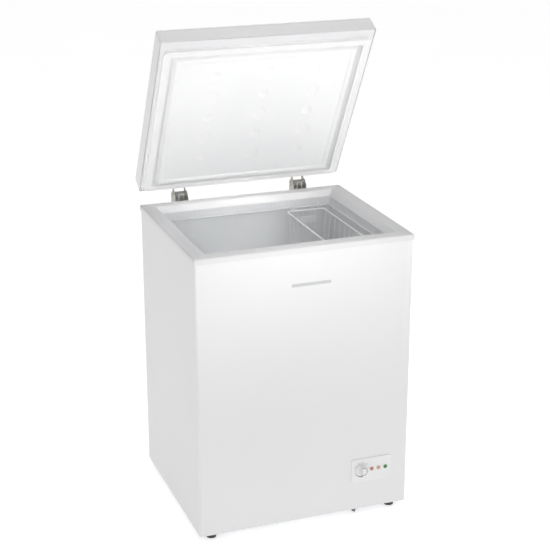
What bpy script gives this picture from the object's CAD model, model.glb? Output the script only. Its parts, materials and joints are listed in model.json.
"""Looks of a small chest freezer with its lid open: finishes for every part, and the pieces whose shape
needs more than the plain solids give, such as the moulded lid liner, the seal, the rim, the wire basket
and the knob.

All sizes are in metres. Lid pieces are worked out with the lid shut, then turned open about the hinge pins.
"""
import json
import math

import bmesh
import bpy
import numpy as np
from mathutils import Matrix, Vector


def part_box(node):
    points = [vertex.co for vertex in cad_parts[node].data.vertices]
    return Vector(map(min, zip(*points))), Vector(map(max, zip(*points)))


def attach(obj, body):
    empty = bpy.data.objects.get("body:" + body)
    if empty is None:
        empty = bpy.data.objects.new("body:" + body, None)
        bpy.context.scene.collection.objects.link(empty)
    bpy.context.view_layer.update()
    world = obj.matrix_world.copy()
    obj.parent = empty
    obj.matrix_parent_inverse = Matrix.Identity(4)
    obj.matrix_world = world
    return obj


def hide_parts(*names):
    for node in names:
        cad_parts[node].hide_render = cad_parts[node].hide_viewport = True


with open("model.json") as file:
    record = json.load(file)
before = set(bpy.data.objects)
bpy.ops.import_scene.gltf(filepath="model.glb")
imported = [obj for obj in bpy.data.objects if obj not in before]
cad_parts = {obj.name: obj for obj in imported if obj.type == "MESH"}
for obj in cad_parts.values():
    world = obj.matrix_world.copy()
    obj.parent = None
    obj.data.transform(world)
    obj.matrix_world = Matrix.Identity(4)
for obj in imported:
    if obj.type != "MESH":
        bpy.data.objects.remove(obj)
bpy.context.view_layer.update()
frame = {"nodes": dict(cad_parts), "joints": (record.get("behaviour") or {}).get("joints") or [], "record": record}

MM = 0.001
SAME_POINT = 1e-6     # points nearer than this are one point
NO_LENGTH = 1e-7      # edges shorter than this are dropped
NODES = frame["nodes"]
JOINTS = {joint["name"]: joint for joint in frame["joints"]}


# ---------------------------------------------------------------- places taken from the frame

def turned_lid(points, shut=False):
    """Points turned about the hinge pins from the shut lid to the open one, or back. The pins lie along X, so
    each point's distance from them stays and its angle changes by the lid's opening angle."""
    hinge = JOINTS["lid_hinge"]
    angle = math.radians(hinge["range_deg"][0]) * (-1 if shut else 1)
    _, y0, z0 = hinge["pos_m"]
    y, z = points[..., 1] - y0, points[..., 2] - z0
    turned = points.copy()
    turned[..., 1] = y0 + y * math.cos(angle) - z * math.sin(angle)
    turned[..., 2] = z0 + y * math.sin(angle) + z * math.cos(angle)
    return turned


def corners(node):
    """Lowest and highest corner of a node as arrays."""
    low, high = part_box(node)
    return np.array(low), np.array(high)


def shut_corners(node):
    """Lowest and highest corner that a lid node has when the lid is shut."""
    mesh = NODES[node].data
    flat = np.zeros(len(mesh.vertices) * 3)
    mesh.vertices.foreach_get("co", flat)
    points = turned_lid(flat.reshape(-1, 3), shut=True)
    return points.min(axis=0), points.max(axis=0)


# ---------------------------------------------------------------- surfaces and bars

BEND_STEPS = 5        # points on each bend of a wire
TURNED_SIDES = 48     # points round a turned solid


def rounded(corner_points, radii, steps):
    """Closed outline with every corner turned into an arc. An arc's centre lies on the corner's bisector,
    radius over sine of half the corner's angle away. Its points go round from one side's foot to the
    other's."""
    points = np.asarray(corner_points, float)
    radii = np.broadcast_to(np.asarray(radii, float), len(points))
    before = np.roll(points, 1, axis=0) - points
    after = np.roll(points, -1, axis=0) - points
    before /= np.linalg.norm(before, axis=1, keepdims=True)
    after /= np.linalg.norm(after, axis=1, keepdims=True)
    half = np.arccos(np.clip((before * after).sum(axis=1), -1, 1)) / 2
    reach = (radii / np.tan(half))[:, None]
    first, last = points + before * reach, points + after * reach
    bisector = (before + after) / np.linalg.norm(before + after, axis=1, keepdims=True)
    centre = points + bisector * (radii / np.sin(half))[:, None]
    share = np.linspace(0, 1, steps)[None, :, None]
    ray = (first - centre)[:, None] * (1 - share) + (last - centre)[:, None] * share
    length = np.linalg.norm(ray, axis=2, keepdims=True)
    ray = np.where(length > 1e-9, ray / np.maximum(length, 1e-9), 0) * radii[:, None, None]
    return (centre[:, None] + ray).reshape(-1, points.shape[1])


def grid_faces(rows, columns, wrap_rows=False, wrap_columns=False):
    """Quads between neighbouring points of a grid, joined round where it wraps."""
    index = np.arange(rows * columns).reshape(rows, columns)
    if wrap_rows:
        index = np.vstack([index, index[:1]])
    if wrap_columns:
        index = np.hstack([index, index[:, :1]])
    quads = np.stack([index[:-1, :-1], index[:-1, 1:], index[1:, 1:], index[1:, :-1]], axis=-1)
    return quads.reshape(-1, 4).tolist()


def grid_part(grid, wrap_rows=False, wrap_columns=False, capped=False):
    """Points and faces of a grid surface, with flat caps over its first and last row if it is capped."""
    rows, columns = grid.shape[:2]
    faces = grid_faces(rows, columns, wrap_rows, wrap_columns)
    if capped:
        faces.append(list(range(columns)))
        faces.append([(rows - 1) * columns + k for k in range(columns)])
    return grid.reshape(-1, 3), faces


def bar_part(path, radius, sides=10, closed=False):
    """Round bar along a path. Each station's ring is radius times the cosine of its angle along one side
    vector plus radius times the sine along the other. The side vectors are carried along, so the bar never
    twists."""
    path = np.asarray(path, float)
    if closed:
        tangent = np.roll(path, -1, axis=0) - np.roll(path, 1, axis=0)
    else:
        tangent = np.gradient(path, axis=0)
    tangent /= np.linalg.norm(tangent, axis=1, keepdims=True)
    side = np.zeros_like(path)
    side[0] = np.cross(tangent[0], np.eye(3)[np.argmin(np.abs(tangent[0]))])
    for k in range(1, len(path)):
        side[k] = side[k - 1] - tangent[k] * (side[k - 1] @ tangent[k])
        side[k] /= np.linalg.norm(side[k])
    side[0] /= np.linalg.norm(side[0])
    other = np.cross(tangent, side)
    angle = np.linspace(0, 2 * math.pi, sides, endpoint=False)
    ring = np.cos(angle)[None, :, None] * side[:, None] + np.sin(angle)[None, :, None] * other[:, None]
    return grid_part(path[:, None] + radius * ring, wrap_rows=closed, wrap_columns=True, capped=not closed)


def bent_path(points, bend):
    """Path through the points, with each inner corner turned into an arc of the bend's radius."""
    points = np.asarray(points, float)
    radii = np.r_[0, np.full(len(points) - 2, bend), 0]
    arcs = rounded(points, radii, BEND_STEPS).reshape(len(points), BEND_STEPS, 3)
    return np.vstack([points[:1], arcs[1:-1].reshape(-1, 3), points[-1:]])


def turned_part(profile, centre, axis):
    """Solid turned about an axis. A profile point is a radius and a distance along the axis, and goes round
    that axis."""
    axis = np.asarray(axis, float)
    side = np.cross(axis, np.eye(3)[np.argmin(np.abs(axis))])
    side /= np.linalg.norm(side)
    other = np.cross(axis, side)
    angle = np.linspace(0, 2 * math.pi, TURNED_SIDES, endpoint=False)
    around = np.cos(angle)[:, None] * side + np.sin(angle)[:, None] * other
    profile = np.asarray(profile, float)
    grid = centre + profile[:, 0, None, None] * around + profile[:, 1, None, None] * axis
    return grid_part(grid, wrap_columns=True, capped=True)


def make_piece(name, parts, body, finish, sharp, node=None):
    """One object out of one or more lists of points and faces. It rides on a body and may stand for a node or
    several. Edges that turn by more than the sharp angle, in degrees, stay crisp."""
    points, faces = [], []
    for part_points, part_faces in parts:
        start = sum(len(p) for p in points)
        points.append(np.asarray(part_points, float))
        faces += [[start + k for k in face] for face in part_faces]
    mesh = bpy.data.meshes.new(name)
    mesh.from_pydata(np.vstack(points).tolist(), [], faces)
    shape = bmesh.new()
    shape.from_mesh(mesh)
    bmesh.ops.remove_doubles(shape, verts=shape.verts, dist=SAME_POINT)
    bmesh.ops.dissolve_degenerate(shape, edges=shape.edges, dist=NO_LENGTH)
    bmesh.ops.recalc_face_normals(shape, faces=shape.faces)
    shape.to_mesh(mesh)
    shape.free()
    mesh.materials.append(finish)
    mesh.shade_smooth()
    mesh.set_sharp_from_angle(angle=math.radians(sharp))
    made = bpy.data.objects.new(name, mesh)
    bpy.context.scene.collection.objects.link(made)
    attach(made, body)
    if node:
        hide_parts(*([node] if isinstance(node, str) else node))
    return made


# ---------------------------------------------------------------- building blocks of the finishes

class Finish:
    """A finish under construction: one surface shader, read over the object's own coordinates in metres."""

    def __init__(self, name, **sockets):
        self.material = bpy.data.materials.new(name)
        self.material.use_nodes = True
        self.tree = self.material.node_tree
        self.tree.nodes.clear()
        output = self.add("ShaderNodeOutputMaterial")
        self.skin = self.add("ShaderNodeBsdfPrincipled")
        self.tree.links.new(self.skin.outputs[0], output.inputs[0])
        self.place = self.add("ShaderNodeTexCoord").outputs["Object"]
        for socket, value in sockets.items():
            self.skin.inputs[socket.replace("_", " ")].default_value = value

    def add(self, kind, **settings):
        node = self.tree.nodes.new(kind)
        for key, value in settings.items():
            setattr(node, key, value)
        return node

    def feed(self, node, **inputs):
        """Sets or links a node's inputs by name, with an underscore for a space."""
        for key, value in inputs.items():
            socket = node.inputs[key.replace("_", " ")]
            if isinstance(value, bpy.types.NodeSocket):
                self.tree.links.new(value, socket)
            else:
                socket.default_value = value
        return node

    def moved(self, centre=(0, 0, 0), stretch=(1, 1, 1)):
        """Object coordinates moved so that the centre is at zero, then stretched."""
        shift = self.feed(self.add("ShaderNodeVectorMath", operation="SUBTRACT"), Vector=self.place)
        shift.inputs[1].default_value = centre
        node = self.feed(self.add("ShaderNodeMapping"), Vector=shift.outputs[0], Scale=stretch)
        return node.outputs[0]

    def clouds(self, scale, detail=3.0, stretch=(1, 1, 1), distortion=0.0):
        """Smooth random pattern, with this many features to the metre."""
        node = self.add("ShaderNodeTexNoise")
        where = self.moved(stretch=stretch) if stretch != (1, 1, 1) else self.place
        self.feed(node, Vector=where, Scale=scale, Detail=detail, Distortion=distortion)
        return node.outputs[0]

    def cells(self, scale, feature="F1", output="Distance"):
        """Cell pattern, with this many cells to the metre."""
        node = self.feed(self.add("ShaderNodeTexVoronoi", feature=feature), Vector=self.place, Scale=scale)
        return node.outputs[output]

    def spread(self, value, low, high, start=0.0, end=1.0):
        """The value, stretched from start..end to low..high."""
        node = self.feed(self.add("ShaderNodeMapRange"), Value=value)
        node.inputs["From Min"].default_value = start
        node.inputs["From Max"].default_value = end
        node.inputs["To Min"].default_value = low
        node.inputs["To Max"].default_value = high
        return node.outputs[0]

    def sum_of(self, first, second, share=0.5):
        """First value plus a share of the second."""
        node = self.add("ShaderNodeMath", operation="MULTIPLY_ADD")
        self.tree.links.new(second, node.inputs[0])
        node.inputs[1].default_value = share
        self.tree.links.new(first, node.inputs[2])
        return node.outputs[0]

    def tint(self, value, low, high, start=0.3, end=0.7):
        """Base colour that goes from one tone to another with the value."""
        ramp = self.add("ShaderNodeValToRGB")
        ramp.color_ramp.elements[0].position = start
        ramp.color_ramp.elements[1].position = end
        ramp.color_ramp.elements[0].color = (*low, 1)
        ramp.color_ramp.elements[1].color = (*high, 1)
        self.feed(ramp, Fac=value)
        self.tree.links.new(ramp.outputs[0], self.skin.inputs["Base Color"])
        return ramp.outputs[0]

    def gloss(self, value, low, high, start=0.3, end=0.7):
        """Roughness that goes from low to high with the value."""
        self.tree.links.new(self.spread(value, low, high, start, end), self.skin.inputs["Roughness"])

    def relief(self, value, depth, strength=1.0):
        """Bump of this depth, laid over any relief that is there already."""
        bump = self.feed(self.add("ShaderNodeBump"), Height=value, Distance=depth, Strength=strength)
        before = self.skin.inputs["Normal"].links
        if before:
            self.tree.links.new(before[0].from_socket, bump.inputs["Normal"])
        self.tree.links.new(bump.outputs[0], self.skin.inputs["Normal"])


def shades(tone, change):
    """A tone and the same tone made darker by a share."""
    return tuple(c * (1 - change) for c in tone), tone


# ---------------------------------------------------------------- finishes

def enamel(name, tone, variation=0.012, rough=0.30):
    """Sprayed and baked paint: faint clouds in tone, orange-peel waves and a clear skin."""
    f = Finish(name, Coat_Weight=0.2, Coat_Roughness=0.15)
    f.tint(f.clouds(3.0, 2.0), *shades(tone, variation))
    f.gloss(f.clouds(9.0, 2.0), rough - 0.01, rough + 0.03)
    f.relief(f.clouds(380.0, 1.0), 0.00002, 0.3)
    f.relief(f.clouds(2600.0, 1.0), 0.00001, 0.3)
    return f.material


def moulded(name, tone, rough=0.38, grain=1500.0, depth=0.00006, variation=0.05):
    """Moulded plastic: fine spark-eroded grain, flow clouds and slightly uneven gloss."""
    f = Finish(name)
    f.tint(f.clouds(14.0, 3.0, distortion=0.6), *shades(tone, variation))
    f.gloss(f.clouds(90.0), rough - 0.06, rough + 0.08)
    f.relief(f.clouds(grain, 2.0), depth, 0.6)
    return f.material


def extruded(name, tone, along):
    """Extruded plastic profile: die lines run lengthways, so the pattern is stretched along one axis."""
    stretch = tuple(0.02 if axis == along else 1.0 for axis in "XYZ")
    f = Finish(name)
    f.tint(f.clouds(6.0, 2.0), *shades(tone, 0.012))
    f.gloss(f.clouds(20.0), 0.30, 0.34)
    f.relief(f.clouds(900.0, 1.0, stretch=stretch), 0.00001, 0.3)
    return f.material


def formed_sheet(name, tone):
    """Vacuum-formed sheet: soft satin with stretched flow marks and a fine pebble."""
    f = Finish(name, Coat_Weight=0.15, Coat_Roughness=0.25)
    f.tint(f.clouds(4.5, 3.0), *shades(tone, 0.02))
    f.gloss(f.clouds(22.0, 3.0), 0.34, 0.46)
    f.relief(f.clouds(60.0, 2.0), 0.00025, 0.35)
    f.relief(f.clouds(1100.0, 1.0), 0.00003, 0.5)
    return f.material


def stucco_sheet(name, tone):
    """Embossed aluminium: raised worm-shaped bumps a few millimetres apart, with clouds in the gloss."""
    f = Finish(name, Metallic=0.30)
    worms = f.cells(260.0, "SMOOTH_F1")
    kinks = f.clouds(420.0, 2.0, distortion=1.5)
    f.tint(f.sum_of(f.clouds(7.0, 3.0), worms, 0.25), *shades(tone, 0.10), start=0.25, end=0.9)
    f.gloss(f.clouds(45.0, 3.0), 0.34, 0.50)
    f.relief(f.sum_of(worms, kinks, 0.6), 0.00045, 0.75)
    return f.material


def galvanised(name, tone):
    """Hot-dip zinc: spangles, each with its own tone and gloss."""
    f = Finish(name, Metallic=0.85)
    spangle = f.cells(55.0, output="Color")
    f.tint(spangle, *shades(tone, 0.22), start=0.1, end=0.9)
    f.gloss(spangle, 0.38, 0.58, 0.0, 1.0)
    f.relief(f.clouds(300.0, 4.0), 0.00008, 0.5)
    return f.material


def plated(name, tone, rough=0.30, stain=0.25, metal=1.0):
    """Plated steel: patchy dull stains, fine scratches along the length and tiny pits."""
    f = Finish(name, Metallic=metal)
    patches = f.clouds(70.0, 5.0, distortion=0.8)
    scratches = f.clouds(900.0, 2.0, stretch=(1, 1, 0.05))
    f.tint(patches, *shades(tone, stain))
    f.gloss(f.sum_of(patches, scratches, 0.4), rough - 0.08, rough + 0.18)
    f.relief(f.clouds(1400.0, 3.0, stretch=(1, 1, 0.08)), 0.00004, 0.6)
    f.relief(f.cells(700.0), 0.00003, 0.4)
    return f.material


def drawn_tube(name, tone, dark):
    """Drawn metal tube: brown patches of tarnish and a fine drawn skin."""
    f = Finish(name, Metallic=1.0)
    f.tint(f.clouds(45.0, 5.0, distortion=1.0), dark, tone, 0.35, 0.6)
    f.gloss(f.clouds(160.0, 3.0), 0.22, 0.48)
    f.relief(f.clouds(1800.0, 2.0), 0.00003, 0.5)
    return f.material


def rubbery(name, tone, rough=0.62):
    """Soft rubber: dusty clouds, a matt skin and fine pores."""
    f = Finish(name, Sheen_Weight=0.15, Sheen_Roughness=0.5)
    f.tint(f.clouds(60.0, 4.0), tone, tuple(min(1.0, c * 1.35 + 0.01) for c in tone))
    f.gloss(f.clouds(240.0), rough - 0.08, rough + 0.12)
    f.relief(f.cells(1300.0), 0.00006, 0.5)
    return f.material


def vinyl_seal(name, tone):
    """Soft extruded vinyl: even satin, faint handling marks and a fine skin."""
    f = Finish(name, Subsurface_Weight=0.08, Subsurface_Radius=(0.002, 0.002, 0.002))
    f.tint(f.clouds(25.0, 4.0), *shades(tone, 0.03))
    f.gloss(f.clouds(120.0), 0.42, 0.56)
    f.relief(f.clouds(800.0, 2.0), 0.00006, 0.5)
    return f.material


def coated_wire(name, tone):
    """Wire dipped in plastic: thick glossy coat with slow waves where it ran."""
    f = Finish(name, Coat_Weight=0.3, Coat_Roughness=0.12)
    f.tint(f.clouds(40.0, 3.0), *shades(tone, 0.06))
    f.gloss(f.clouds(110.0), 0.24, 0.40)
    f.relief(f.clouds(260.0, 2.0), 0.00015, 0.5)
    return f.material


def rigid_foam(name, tone):
    """Rigid foam: closed cells and yellow-brown clouds."""
    f = Finish(name)
    f.tint(f.clouds(30.0, 5.0), *shades(tone, 0.25))
    f.gloss(f.clouds(100.0), 0.75, 0.95)
    f.relief(f.cells(900.0), 0.0004, 0.8)
    return f.material


RING_ANGLE = 44.0     # radians of ripple from a lens's middle to its edge, about seven rings


def lamp_lens(name, node, tone, core, glow):
    """Tinted lens: rings pressed into its back show as ripples, and the lamp makes the middle brighter."""
    low, high = corners(node)
    half_width = (high[0] - low[0]) / 2
    f = Finish(name, IOR=1.49, Coat_Weight=0.6, Coat_Roughness=0.03, Emission_Strength=glow)
    middle = f.moved(centre=tuple((low + high) / 2), stretch=(1, 0, 1))
    length = f.add("ShaderNodeVectorMath", operation="LENGTH")
    f.feed(length, Vector=middle)
    radius = length.outputs["Value"]
    share = f.spread(radius, 1.0, 0.0, 0.0, half_width)
    colour = f.tint(share, tone, core, 0.1, 0.9)
    f.tree.links.new(colour, f.skin.inputs["Emission Color"])
    rings = f.add("ShaderNodeMath", operation="SINE")
    f.tree.links.new(f.spread(radius, 0.0, RING_ANGLE, 0.0, half_width), rings.inputs[0])
    f.gloss(f.clouds(400.0), 0.08, 0.18)
    f.relief(rings.outputs[0], 0.00008, 0.6)
    return f.material


def brushed_strip(name, tone):
    """Brushed aluminium: long scratches across the strip and a little unevenness in tone."""
    f = Finish(name, Metallic=0.9, Anisotropic=0.5)
    lines = f.clouds(2400.0, 2.0, stretch=(0.02, 1, 1))
    f.tint(lines, *shades(tone, 0.15))
    f.gloss(lines, 0.26, 0.42)
    f.relief(lines, 0.00002, 0.6)
    return f.material


def circuit_board(name, tone):
    """Printed board: green resin with paler tracks between its cells."""
    f = Finish(name, Coat_Weight=0.4, Coat_Roughness=0.15)
    tracks = f.cells(380.0, "DISTANCE_TO_EDGE")
    f.tint(tracks, tuple(min(1, c * 2.2) for c in tone), tone, 0.05, 0.09)
    f.gloss(f.clouds(200.0), 0.30, 0.45)
    f.relief(tracks, 0.00005, 0.6)
    return f.material


def printed_ink(name, tone):
    """Screen-printed ink: slightly uneven edges of tone and a dull skin."""
    f = Finish(name)
    f.tint(f.clouds(700.0, 3.0), *shades(tone, 0.2))
    f.gloss(f.clouds(900.0), 0.45, 0.6)
    f.relief(f.clouds(3000.0, 1.0), 0.00001, 0.5)
    return f.material


RECIPES = {
    "front_enamel": (enamel, (0.81, 0.81, 0.81)),
    "side_enamel": (enamel, (0.73, 0.73, 0.74)),
    "back_enamel": (enamel, (0.78, 0.78, 0.79), 0.06, 0.36),
    "galvanised_sheet": (galvanised, (0.55, 0.56, 0.58)),
    "feet_plastic": (moulded, (0.055, 0.055, 0.06), 0.5, 900.0, 0.0001, 0.3),
    "rim_plastic": (extruded, (0.82, 0.82, 0.82), "X"),
    "strip_plastic": (moulded, (0.80, 0.81, 0.82), 0.34),
    "liner_sheet": (stucco_sheet, (0.90, 0.91, 0.92)),
    "foam": (rigid_foam, (0.80, 0.75, 0.60)),
    "coil_steel": (drawn_tube, (0.52, 0.52, 0.54), (0.36, 0.35, 0.34)),
    "plate_steel": (plated, (0.55, 0.55, 0.56), 0.38),
    "drain_plastic": (moulded, (0.66, 0.67, 0.68), 0.42),
    "cap_rubber": (rubbery, (0.12, 0.12, 0.13)),
    "tray_paint": (enamel, (0.05, 0.05, 0.055), 0.3, 0.4),
    "mount_rubber": (rubbery, (0.03, 0.03, 0.03)),
    "stud_steel": (plated, (0.62, 0.62, 0.64), 0.28, 0.18),
    "compressor_paint": (enamel, (0.022, 0.022, 0.024), 0.35, 0.26),
    "cover_plastic": (moulded, (0.06, 0.06, 0.065), 0.45, 1100.0, 0.00012, 0.25),
    "relay_plastic": (moulded, (0.09, 0.10, 0.17), 0.4, 1300.0, 0.0001, 0.2),
    "pipe_copper": (drawn_tube, (0.80, 0.44, 0.28), (0.38, 0.20, 0.13)),
    "lead_rubber": (rubbery, (0.035, 0.035, 0.035), 0.5),
    "rear_cover_plastic": (moulded, (0.27, 0.28, 0.29), 0.5, 800.0, 0.00014, 0.12),
    "screw_steel": (plated, (0.58, 0.58, 0.58), 0.3, 0.2),
    "gland_plastic": (moulded, (0.05, 0.05, 0.05), 0.42, 1200.0, 0.0001, 0.25),
    "panel_plastic": (moulded, (0.85, 0.85, 0.85), 0.33, 1700.0, 0.00004, 0.03),
    "lens_red": (lamp_lens, "lamp_lens_red", (0.40, 0.16, 0.12), (0.52, 0.25, 0.20), 0.06),
    "lens_amber": (lamp_lens, "lamp_lens_amber", (0.52, 0.28, 0.18), (0.62, 0.38, 0.28), 0.06),
    "lens_green": (lamp_lens, "lamp_lens_green", (0.008, 0.16, 0.022), (0.02, 0.24, 0.04), 0.08),
    "board_resin": (circuit_board, (0.05, 0.17, 0.07)),
    "knob_plastic": (moulded, (0.84, 0.84, 0.84), 0.3, 1500.0, 0.00004, 0.04),
    "shaft_steel": (plated, (0.62, 0.62, 0.63), 0.22, 0.12),
    "badge_metal": (brushed_strip, (0.62, 0.63, 0.64)),
    "hinge_nickel": (plated, (0.60, 0.59, 0.53), 0.36, 0.15, 0.6),
    "spring_steel": (plated, (0.78, 0.78, 0.75), 0.24, 0.12, 0.7),
    "lid_enamel": (enamel, (0.81, 0.81, 0.82)),
    "lid_frame_plastic": (extruded, (0.80, 0.80, 0.81), "X"),
    "lid_panel_plastic": (formed_sheet, (0.95, 0.95, 0.95)),
    "gasket_vinyl": (vinyl_seal, (0.92, 0.92, 0.92)),
    "grip_plastic": (moulded, (0.90, 0.90, 0.91), 0.36, 1400.0, 0.00005, 0.04),
    "dial_ink": (printed_ink, (0.16, 0.16, 0.17)),
    "knob_ink": (printed_ink, (0.22, 0.22, 0.23)),
    "basket_wire": (coated_wire, (0.94, 0.94, 0.94)),
}


def make_finishes():
    """Every finish, by the name of its material slot."""
    return {slot: maker(slot, *settings) for slot, (maker, *settings) in RECIPES.items()}


def dress_nodes(finishes):
    """Gives every node the finish of its material slot."""
    slots = {part["node"]: part["material_slot"] for part in frame["record"]["subparts"]}
    for name, part in NODES.items():
        part.data.materials.clear()
        part.data.materials.append(finishes[slots[name]])


# ---------------------------------------------------------------- lid pieces

PLUG_CORNER = 4 * MM          # corner radius of the raised liner, seen from below
PLUG_RUN = 10 * MM            # width of the slope up from its edge
CREST_WIDTH = 6 * MM
RECESS_RUN = 5 * MM
RECESS_RISE = 2.4 * MM
LINER_BORDER = 30 * MM        # strip with close points, as wide as slope, crest and recess need
BORDER_POINTS = 25
MIDDLE_POINTS = (116, 102)    # points across and along the middle, its ends included

DIMPLE_COLUMNS = (-136 * MM, 9 * MM, 147 * MM)
DIMPLE_ROWS = 5
FIRST_DIMPLE = 408 * MM       # from the lid's back edge
DIMPLE_PITCH = 71 * MM
DIMPLE_WALL = 8 * MM
SMALL_DIMPLE = (15 * MM, 2.8 * MM)    # radius and depth
WIDE_DIMPLE = (22 * MM, 2.4 * MM)

SEAL_GAP = 8 * MM             # from the liner's side to the seal's inner edge
SEAL_FRONT_WIDTH = 19.5 * MM
SEAL_BACK_WIDTH = 17 * MM
SEAL_CORNERS = (6 * MM, 14 * MM)      # inner and outer corner radius
SEAL_CORNER_STEPS = 8


def inset_of(x, y, half, front, back, corner):
    """How far points lie inside a rectangle with round corners: the corner radius less the length of what
    sticks out past the straight parts, or the nearer side's distance."""
    middle, half_y = (front + back) / 2, (back - front) / 2
    over_x = np.abs(x) - (half - corner)
    over_y = np.abs(y - middle) - (half_y - corner)
    outside = np.hypot(np.maximum(over_x, 0), np.maximum(over_y, 0))
    return corner - outside - np.minimum(np.maximum(over_x, over_y), 0)


def soft_step(value):
    """Rises from 0 to 1 as value goes from 0 to 1, level at both ends."""
    share = np.clip(value, 0, 1)
    return share * share * (3 - 2 * share)


def make_lid_liner(finish):
    """Moulded inner liner of the lid. Its height is a slope up from the edge, a crest, a short slope down to
    the recess, and shallow flat-bottomed dimples in three columns, small or wide by turns."""
    low, high = shut_corners("lid_inner_panel")
    half, front, back = high[0], low[1], high[1]
    frame_low = shut_corners("lid_frame")[0][2]
    proud = frame_low - low[2]
    border = np.linspace(0, LINER_BORDER, BORDER_POINTS)
    middle_x = np.linspace(-half + LINER_BORDER, half - LINER_BORDER, MIDDLE_POINTS[0])[1:-1]
    middle_y = np.linspace(front + LINER_BORDER, back - LINER_BORDER, MIDDLE_POINTS[1])[1:-1]
    x = np.concatenate([-half + border, middle_x, (half - border)[::-1]])
    y = np.concatenate([front + border, middle_y, (back - border)[::-1]])
    grid_x, grid_y = np.meshgrid(x, y)
    inset = inset_of(grid_x, grid_y, half, front, back, PLUG_CORNER)
    height = proud * soft_step(inset / PLUG_RUN)
    height -= RECESS_RISE * soft_step((inset - PLUG_RUN - CREST_WIDTH) / RECESS_RUN)
    lid_back = shut_corners("lid_skin")[1][1]
    for column, place_x in enumerate(DIMPLE_COLUMNS):
        for row in range(DIMPLE_ROWS):
            radius, depth = SMALL_DIMPLE if (row + column) % 2 == 0 else WIDE_DIMPLE
            place_y = lid_back - FIRST_DIMPLE + DIMPLE_PITCH * row
            away = np.hypot(grid_x - place_x, grid_y - place_y) - radius + DIMPLE_WALL
            height -= depth * (1 - soft_step(away / DIMPLE_WALL))
    points = np.stack([grid_x, grid_y, frame_low - height], axis=-1)
    make_piece("lid_liner", [grid_part(turned_lid(points))], "lid", finish, 60.0,
               "lid_inner_panel")


def ring_grid(inner, outer, section):
    """Closed section carried round a rectangle with round corners. A section point is the share of the way
    from the inner outline to the outer one, and a height. Outlines are half width, front and back."""
    inner, outer = np.asarray(inner), np.asarray(outer)
    rings = []
    for share, level in section:
        half, front, back = inner + (outer - inner) * share
        radius = SEAL_CORNERS[0] + (SEAL_CORNERS[1] - SEAL_CORNERS[0]) * share
        outline = rounded([(-half, front), (half, front), (half, back), (-half, back)], radius,
                          SEAL_CORNER_STEPS)
        rings.append(np.column_stack([outline, np.full(len(outline), level)]))
    return np.stack(rings, axis=1)


def make_seal(finish):
    """Magnetic seal: a wide foot on the lid's frame, a bellows waist, and the flat magnet tube with two lines
    pressed into its face."""
    low, high = shut_corners("lid_gasket")
    frame_low = shut_corners("lid_frame")[0][2]
    plug_half = shut_corners("lid_inner_panel")[1][0]
    outer = (high[0], low[1], high[1])
    inner = (plug_half + SEAL_GAP, low[1] + SEAL_FRONT_WIDTH, high[1] - SEAL_BACK_WIDTH)
    deep = frame_low - low[2]
    section = [(0.0, 0.0), (0.02, 0.10), (0.16, 0.16), (0.24, 0.30), (0.10, 0.42), (0.04, 0.60), (0.04, 0.90),
               (0.08, 1.0), (0.26, 1.0), (0.29, 0.92), (0.33, 0.92), (0.36, 1.0), (0.64, 1.0), (0.67, 0.92),
               (0.71, 0.92), (0.74, 1.0), (0.92, 1.0), (0.96, 0.90), (0.96, 0.60), (0.90, 0.42), (0.76, 0.30),
               (0.84, 0.16), (0.98, 0.10), (1.0, 0.0)]
    section = [(share, frame_low - deep * drop) for share, drop in section]
    grid = turned_lid(ring_grid(inner, outer, section))
    make_piece("lid_seal", [grid_part(grid, wrap_rows=True, wrap_columns=True)], "lid",
               finish, 40.0, "lid_gasket")


# ---------------------------------------------------------------- cabinet pieces

RIM_FLAT = 36.3 * MM          # width of the flat top, from the outer face
RIM_RUN = 15.1 * MM           # width and drop of the slope down to the opening
RIM_DROP = 15.5 * MM
RIM_WALL = 2 * MM
RIM_SKIRT = 16 * MM
RIM_LIP_WALL = 1.4 * MM
RIM_UNDER_SLOPE = 0.8 * MM    # how far the slope's underside starts before its top
RIM_RADII = np.array([0.6, 3.5, 3, 1.2, 0.5, 0.5, 0.3, 0.8, 1.2, 0.6]) * MM
RIM_CORNER_STEPS = 5
MITRE_GAP = 0.1 * MM


def make_rim(finishes):
    """Four mitred rim lengths. The section is an outer skirt, a flat top, a slope down to the opening and a
    lip, all with soft edges. Each point of it runs along its side and stops where the next side's same point
    begins."""
    low, high = corners("top_rim")
    top, half = high[2], high[0]
    front, back = low[1], high[1]
    inner = RIM_FLAT + RIM_RUN
    slope_foot, ceiling = top - RIM_DROP, top - RIM_WALL
    outline = [(0, top - RIM_SKIRT), (0, top), (RIM_FLAT, top), (inner, slope_foot), (inner, low[2]),
               (inner - RIM_LIP_WALL, low[2]), (inner - RIM_LIP_WALL, slope_foot),
               (RIM_FLAT - RIM_UNDER_SLOPE, ceiling), (RIM_WALL, ceiling), (RIM_WALL, top - RIM_SKIRT)]
    section = rounded(outline, RIM_RADII, RIM_CORNER_STEPS)
    inwards, level = section[:, 0], section[:, 1]
    end = half - inwards - MITRE_GAP
    ahead, behind = front + inwards, back - inwards
    for side, finish in finishes.items():
        if side in ("front", "back"):
            y = ahead if side == "front" else behind
            ends = [(-end, y, level), (end, y, level)]
        else:
            x = -half + inwards if side == "left" else half - inwards
            ends = [(x, ahead + MITRE_GAP, level), (x, behind - MITRE_GAP, level)]
        grid = np.stack([np.column_stack(columns) for columns in ends])
        made = make_piece("rim_" + side, [grid_part(grid, wrap_columns=True, capped=True)], "cabinet",
                          finish, 30.0)
    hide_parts("top_rim")


GRIP_INSET = 5 * MM           # the grip's radius is this much less than the skirt's
GRIP_FLAT = -6 * MM           # where the grip is cut flat, from the middle
GRIP_SHRINK = 3 * MM          # the face shrinks towards a point this far right of the middle


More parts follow.
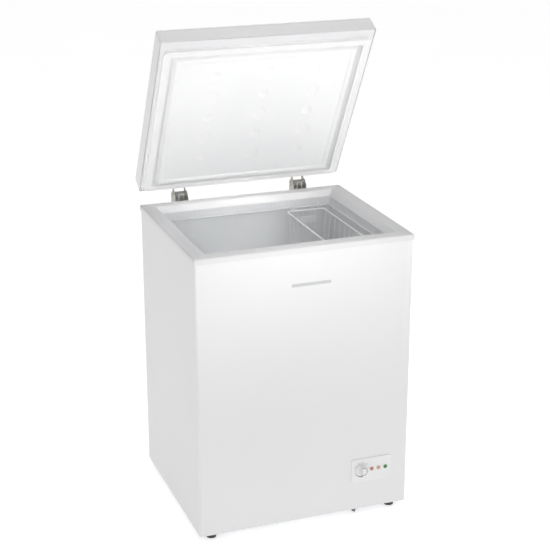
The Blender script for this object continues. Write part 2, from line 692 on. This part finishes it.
def make_knob(finish, ink):
    """Thermostat knob: a low dished skirt with a soft edge, a half-round grip cut flat on its left, and a
    line printed round the edge of the grip's face."""
    low, high = corners("control_knob")
    centre = np.array([(low[0] + high[0]) / 2, high[1], (low[2] + high[2]) / 2])
    radius, tall = (high[0] - low[0]) / 2, high[1] - low[1]
    skirt = [(0.0, 0.0), (radius - 1.2 * MM, 0.0), (radius, 0.8 * MM), (radius - 0.6 * MM, 2.6 * MM),
             (radius - 1.6 * MM, 3.4 * MM), (radius - 4 * MM, 3.5 * MM), (0.0, 3.3 * MM)]
    grip = radius - GRIP_INSET
    arc_end = math.acos(GRIP_FLAT / grip)
    angle = np.linspace(-arc_end, arc_end, 40)
    across, up = grip * np.cos(angle), grip * np.sin(angle)

    def grip_grid(rings):
        """The grip's outline at several sizes, each a share of the full one, and heights above the panel."""
        share, height = np.array(rings).T[:, :, None]
        x = centre[0] + GRIP_SHRINK + (across - GRIP_SHRINK) * share
        return np.stack([x, np.broadcast_to(centre[1] - height, x.shape), centre[2] + up * share], axis=-1)

    edge, face = tall - 1.6 * MM, tall - 0.1 * MM
    body = grip_grid([(1.0, 3.2 * MM), (1.0, edge), (0.96, tall - 0.5 * MM), (0.90, face), (0.0, face)])
    parts = [turned_part(skirt, centre, (0, -1, 0)), grid_part(body, wrap_columns=True, capped=True)]
    make_piece("thermostat_knob", parts, "knob", finish, 32.0, "control_knob")

    sunk, proud = tall - 0.15 * MM, tall - 0.02 * MM
    band = grip_grid([(0.89, sunk), (0.89, proud), (0.76, proud), (0.76, sunk)])
    make_piece("knob_outline", [grid_part(band, wrap_rows=True, wrap_columns=True)], "knob",
               ink, 30.0)


WEDGE_ANGLES = (198, 282)     # degrees, turning from the right towards the top
WEDGE_RADIUS = 19.6 * MM
WEDGE_WIDTHS = (0.3 * MM, 3.5 * MM)
WEDGE_POINTS = 40
TICK_ANGLES = range(150, -61, -35)
TICK_HALF_ANGLE = 1.1
TICK_RADII = (20.8 * MM, 23.2 * MM)
INK_SUNK = 0.01 * MM
INK_PROUD = 0.05 * MM


def make_dial_marks(finish):
    """Printed setting marks on the bezel round the knob: a wedge that grows as it goes round, between one
    radius and that radius plus a width rising with the angle, and short radial ticks."""
    low, high = corners("control_knob")
    face = corners("control_panel")[0][1]
    middle_x, middle_z = (low[0] + high[0]) / 2, (low[2] + high[2]) / 2
    depth = face + np.array([INK_SUNK, -INK_PROUD, -INK_PROUD, INK_SUNK])

    def slab(degrees, near, far):
        """Flat raised mark. At each angle its section is a rectangle from the near radius to the far one."""
        angle = np.radians(degrees)[:, None]
        radius = np.stack(np.broadcast_arrays(near, near, far, far, angle[:, 0])[:4], axis=1)
        x, z = middle_x + radius * np.cos(angle), middle_z + radius * np.sin(angle)
        return grid_part(np.stack([x, np.broadcast_to(depth, x.shape), z], axis=-1), wrap_columns=True,
                         capped=True)

    widths = np.linspace(*WEDGE_WIDTHS, WEDGE_POINTS)
    parts = [slab(np.linspace(*WEDGE_ANGLES, WEDGE_POINTS), WEDGE_RADIUS, WEDGE_RADIUS + widths)]
    for degrees in TICK_ANGLES:
        parts.append(slab([degrees - TICK_HALF_ANGLE, degrees + TICK_HALF_ANGLE], *TICK_RADII))
    make_piece("dial_marks", parts, "cabinet", finish, 30.0)


HOOK_FROM_PIN_END = 22.5 * MM
HOOK_AHEAD = 17.5 * MM        # in front of the pin
HOOK_BEND = 2.2 * MM
HOOK_RADIUS = 1.9 * MM


def make_hinge_hooks(finish):
    """Bent spring hook in the mouth of each hinge, fixed to the bracket: an S that goes up, over in a round
    eye and back down to the bracket's floor. Its points are given sideways and upwards from the pin."""
    low, high = corners("hinge_pins")
    pin_y, pin_z = (low[1] + high[1]) / 2, (low[2] + high[2]) / 2
    outline = np.array([(-9, -24), (-9, -12), (-3, -6), (-8, -1), (-5, 5), (3, 6), (8, 1), (7, -6), (10, -14),
                        (10, -24)]) * MM
    hooks = []
    for middle in (low[0] + HOOK_FROM_PIN_END, high[0] - HOOK_FROM_PIN_END):
        spots = np.insert(outline + (middle, pin_z), 1, pin_y - HOOK_AHEAD, axis=1)
        hooks.append(bar_part(bent_path(spots, HOOK_BEND), HOOK_RADIUS, 12))
    make_piece("hinge_hooks", hooks, "cabinet", finish, 60.0)


# ---------------------------------------------------------------- basket

WIRE_RADIUS = 1.4 * MM
WIRE_BEND = 7 * MM
SIDE_CLEARANCE = 0.4 * MM     # the sides lean in by this much less than the floor wires do
RAIL_CORNER = 10 * MM
CROSS_WIRES = range(-5, 6)    # counted from the middle of the basket
CROSS_PITCH = 35 * MM
LONG_WIRES = range(-3, 4)
LONG_PITCH = 12.5 * MM
CROSSING = 2.4 * MM           # between the middles of two wires that cross
SIDE_WIRE_END = 10 * MM       # a side wire stops this far from the rail's end
HOOK_WIRE = 1.6 * MM
HOOK_SINK = 1.8 * MM          # from the edge of the space for the hooks to the wire's middle
HOOK_SPREAD = 4.5 * MM        # half the width of a hairpin
HAIRPIN_BEND = 3 * MM


def make_basket(finish):
    """Welded wire basket. Cross wires run down one side, over the floor and up the other. Lengthways wires do
    the same between the ends. A thick rail closes the top, and hairpin hooks hold it on the ledge."""
    low, high = corners("basket_rim")
    thick = (high[2] - low[2]) / 2
    rail_low, rail_high = low + thick, high - thick
    floor_low, floor_high = corners("basket_floor")
    top = (low[2] + high[2]) / 2
    base = floor_high[2] - WIRE_RADIUS
    taper = (floor_low[0] + WIRE_RADIUS - rail_low[0]) - SIDE_CLEARANCE
    left, right, front, back = rail_low[0], rail_high[0], rail_low[1], rail_high[1]
    middle_x, middle_y = (left + right) / 2, (front + back) / 2

    rail = rounded([(left, front), (right, front), (right, back), (left, back)], RAIL_CORNER, 8)
    rail = np.column_stack([rail, np.full(len(rail), top)])
    make_piece("basket_rail", [bar_part(rail, thick, 14, closed=True)], "basket", finish, 60.0,
               "basket_rim")

    cross = []
    for k in CROSS_WIRES:
        y = middle_y + k * CROSS_PITCH
        corner_spots = [(left, y, top), (left + taper, y, base), (right - taper, y, base), (right, y, top)]
        cross.append(bar_part(bent_path(corner_spots, WIRE_BEND), WIRE_RADIUS))
    for x in (left + taper / 2 - CROSSING, right - taper / 2 + CROSSING):
        level = (top + base) / 2
        side_wire = [(x, front + SIDE_WIRE_END, level), (x, back - SIDE_WIRE_END, level)]
        cross.append(bar_part(side_wire, WIRE_RADIUS))
    make_piece("basket_cross_wires", cross, "basket", finish, 60.0, "basket_sides")

    lengthways = []
    under = base - CROSSING
    for k in LONG_WIRES:
        x = middle_x + k * LONG_PITCH
        corner_spots = [(x, front, top), (x, front + taper, under), (x, back - taper, under), (x, back, top)]
        lengthways.append(bar_part(bent_path(corner_spots, WIRE_BEND), WIRE_RADIUS))
    make_piece("basket_long_wires", lengthways, "basket", finish, 60.0,
               ("basket_floor", "basket_ends"))

    hang_low, hang_high = corners("basket_hangers")
    hooks = []
    rest = hang_high[2] - HOOK_SINK
    for x in (hang_low[0] + HOOK_SINK, hang_high[0] - HOOK_SINK):
        for end, tip in ((front, hang_low[1] + HOOK_SINK), (back, hang_high[1] - HOOK_SINK)):
            near, far = x - HOOK_SPREAD, x + HOOK_SPREAD
            hairpin = [(near, end, top), (near, end, rest), (near, tip, rest), (far, tip, rest),
                       (far, end, rest), (far, end, top)]
            hooks.append(bar_part(bent_path(hairpin, HAIRPIN_BEND), HOOK_WIRE))
    make_piece("basket_hooks", hooks, "basket", finish, 60.0, "basket_hangers")


# ---------------------------------------------------------------- floor, light and camera

FLOOR_REACH = 12.0            # from the middle to each edge
FLOOR_GLOW = 0.54             # light of its own, so that it meets the white background
ROOM_LIGHT = 0.47


def make_floor():
    """Plain pale floor under the feet."""
    f = Finish("studio_floor", Roughness=0.6, Emission_Color=(1, 1, 1, 1), Emission_Strength=FLOOR_GLOW)
    f.tint(f.clouds(2.0, 2.0), (0.93, 0.93, 0.93), (0.95, 0.95, 0.95))
    mesh = bpy.data.meshes.new("studio_floor")
    reach = FLOOR_REACH
    mesh.from_pydata([(-reach, -reach, 0), (reach, -reach, 0), (reach, reach, 0), (-reach, reach, 0)], [],
                     [(0, 1, 2, 3)])
    mesh.materials.append(f.material)
    floor = bpy.data.objects.new("studio_floor", mesh)
    bpy.context.scene.collection.objects.link(floor)


def placed(made, azimuth, elevation, distance, target):
    """Puts a light or camera at this distance from the target and turns it to look there. Azimuth goes round
    from the front towards the right and elevation goes up, both in degrees."""
    a, e = math.radians(azimuth), math.radians(elevation)
    away = Vector((math.sin(a) * math.cos(e), -math.cos(a) * math.cos(e), math.sin(e)))
    made.location = Vector(target) + away * distance
    made.rotation_euler = (-away).to_track_quat("-Z", "Y").to_euler()
    bpy.context.scene.collection.objects.link(made)
    return made


def make_light(name, azimuth, elevation, distance, size, power, target=(0.0, 0.0, 0.6), spread=180.0):
    """Square soft light that looks at the target from a direction round the object."""
    lamp = bpy.data.lights.new(name, "AREA")
    lamp.shape = "SQUARE"
    lamp.size = size
    lamp.energy = power
    lamp.spread = math.radians(spread)
    placed(bpy.data.objects.new(name, lamp), azimuth, elevation, distance, target)


def make_camera():
    """Camera in front, to the left and above, with a long lens."""
    data = bpy.data.cameras.new("studio_camera")
    data.sensor_width = 36.0
    data.lens = 92.06
    camera = bpy.data.objects.new("studio_camera", data)
    bpy.context.scene.camera = placed(camera, -20.38, 19.43, 3.832, (0.00635, -0.021, 0.6306))


def make_studio():
    """White room with soft lights, and two narrow ones for the open lid and the storage space."""
    world = bpy.data.worlds.new("studio_room")
    world.use_nodes = True
    world.node_tree.nodes["Background"].inputs["Color"].default_value = (1, 1, 1, 1)
    world.node_tree.nodes["Background"].inputs["Strength"].default_value = ROOM_LIGHT
    bpy.context.scene.world = world
    bpy.context.scene.view_settings.view_transform = "Standard"
    make_light("front_light", -12, 30, 4.5, 3.0, 20)
    make_light("top_right_light", 60, 60, 3.5, 2.0, 6)
    make_light("left_light", -80, 35, 4.0, 2.5, 2)
    make_light("right_light", 75, 15, 4.0, 2.5, 20)
    make_light("top_light", 0, 88, 3.5, 2.0, 10)
    make_light("lid_light", -6, 2, 3.2, 0.8, 0.60, (0.02, 0.14, 0.99), 15)
    make_light("tub_light", 4, 48, 3.0, 0.3, 0.24, (-0.04, 0.12, 0.70), 10)
    make_light("back_light", 170, 40, 4.0, 2.5, 10)
    make_floor()
    make_camera()


finishes = make_finishes()
dress_nodes(finishes)
make_lid_liner(finishes["lid_panel_plastic"])
make_seal(finishes["gasket_vinyl"])
rim_sides = extruded("rim_plastic_sides", (0.70, 0.70, 0.71), "Y")
make_rim({"front": extruded("rim_plastic_front", (0.74, 0.74, 0.74), "X"), "back": finishes["rim_plastic"],
          "left": rim_sides, "right": rim_sides})
make_knob(finishes["knob_plastic"], finishes["knob_ink"])
make_dial_marks(finishes["dial_ink"])
make_hinge_hooks(finishes["spring_steel"])
make_basket(finishes["basket_wire"])
make_studio()
